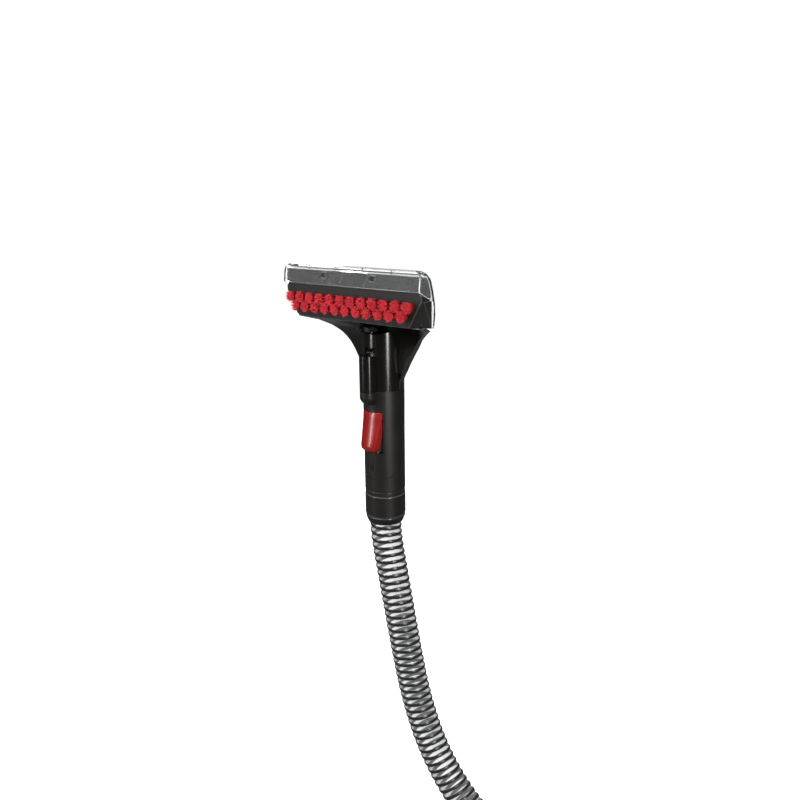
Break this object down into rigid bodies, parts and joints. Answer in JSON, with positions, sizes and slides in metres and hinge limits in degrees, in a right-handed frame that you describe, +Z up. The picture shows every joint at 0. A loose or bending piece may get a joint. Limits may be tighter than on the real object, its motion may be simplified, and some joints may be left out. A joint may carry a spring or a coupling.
{
  "type": "extraction cleaner hand tool and hose",
  "caption": "Upholstery hand tool of a cleaning machine: wide clear suction nozzle with a red brush, trigger grip, slide-off head and a coiled suction hose.",
  "frame": {"origin": "on the grip's axis, midway between the grip's two ends, where a hand closes round it", "axes": "+Z up along the grip's axis, -Y towards the trigger and the brush, +X along the nozzle"},
  "size_m": [0.489, 0.3928, 0.5768],
  "materials": {
    "matte_black": "moulded, fine texture",
    "gloss_black": "moulded, smooth",
    "inner_plastic": "moulded, plain",
    "clear_plastic": "clear moulded plastic",
    "red_plastic": "moulded, satin",
    "red_bristle": "nylon bristle",
    "hose_plastic": "corrugated, translucent",
    "black_rubber": "moulded",
    "plated_steel": "zinc plated",
    "brass": "turned",
    "vinyl_tube": "clear vinyl"
  },
  "bodies": {
    "grip": {"grip_front_shell": "matte_black", "grip_rear_shell": "matte_black", "grip_screw": "plated_steel", "suction_tube": "inner_plastic", "bulkhead": "inner_plastic", "swivel_seal": "black_rubber", "retaining_ring": "matte_black", "seat_gasket": "black_rubber", "trigger_pin": "plated_steel", "valve_body": "inner_plastic", "trigger_spring": "plated_steel", "solution_inlet_tube": "vinyl_tube", "solution_outlet_tube": "vinyl_tube", "solution_nipple": "brass", "nipple_seal": "black_rubber", "latch_finger": "gloss_black"},
    "trigger": {"trigger": "red_plastic"},
    "valve_stem": {"valve_stem": "plated_steel"},
    "head": {"neck_front_shell": "gloss_black", "funnel_rear_shell": "gloss_black", "funnel_front_wall": "gloss_black", "nozzle_base": "matte_black", "clear_nozzle": "clear_plastic", "brush_plate": "matte_black", "bristle_row_upper": "red_bristle", "bristle_row_lower": "red_bristle", "head_solution_tube": "vinyl_tube", "spray_tip_holder": "gloss_black", "spray_tip": "brass"},
    "hose": {"swivel_sleeve": "inner_plastic", "hose_collar": "matte_black", "collar_end_ring": "matte_black", "suction_hose": "hose_plastic", "hose_coil": "hose_plastic", "hose_tail": "hose_plastic", "coil_strap": "black_rubber", "machine_cuff": "matte_black", "cuff_grip_sleeve": "black_rubber", "solution_plug": "brass"}
  },
  "joints": [
    {"name": "trigger_pull", "type": "hinge", "parent": "grip", "child": "trigger", "pos_m": [0, -0.013, 0.024], "axis": [1, 0, 0], "range_deg": [0, 6], "stiffness_Nm_per_rad": 0.8, "springref_deg": -2.86},
    {"name": "valve_slide", "type": "slide", "parent": "grip", "child": "valve_stem", "axis": [0, 1, 0], "range_m": [0, 0.002], "deforming": ["trigger_spring"]},
    {"name": "head_release", "type": "slide", "parent": "grip", "child": "head", "axis": [0, 0, 1], "range_m": [0, 0.045], "deforming": ["latch_finger"]},
    {"name": "hose_swivel", "type": "hinge", "parent": "grip", "child": "hose", "pos_m": [0, 0, -0.047], "axis": [0, 0, 1], "range_deg": [-120, 120]}
  ],
  "couplings": [
    {"joint": "valve_slide", "follows": "trigger_pull", "m_per_rad": 0.018}
  ]
}
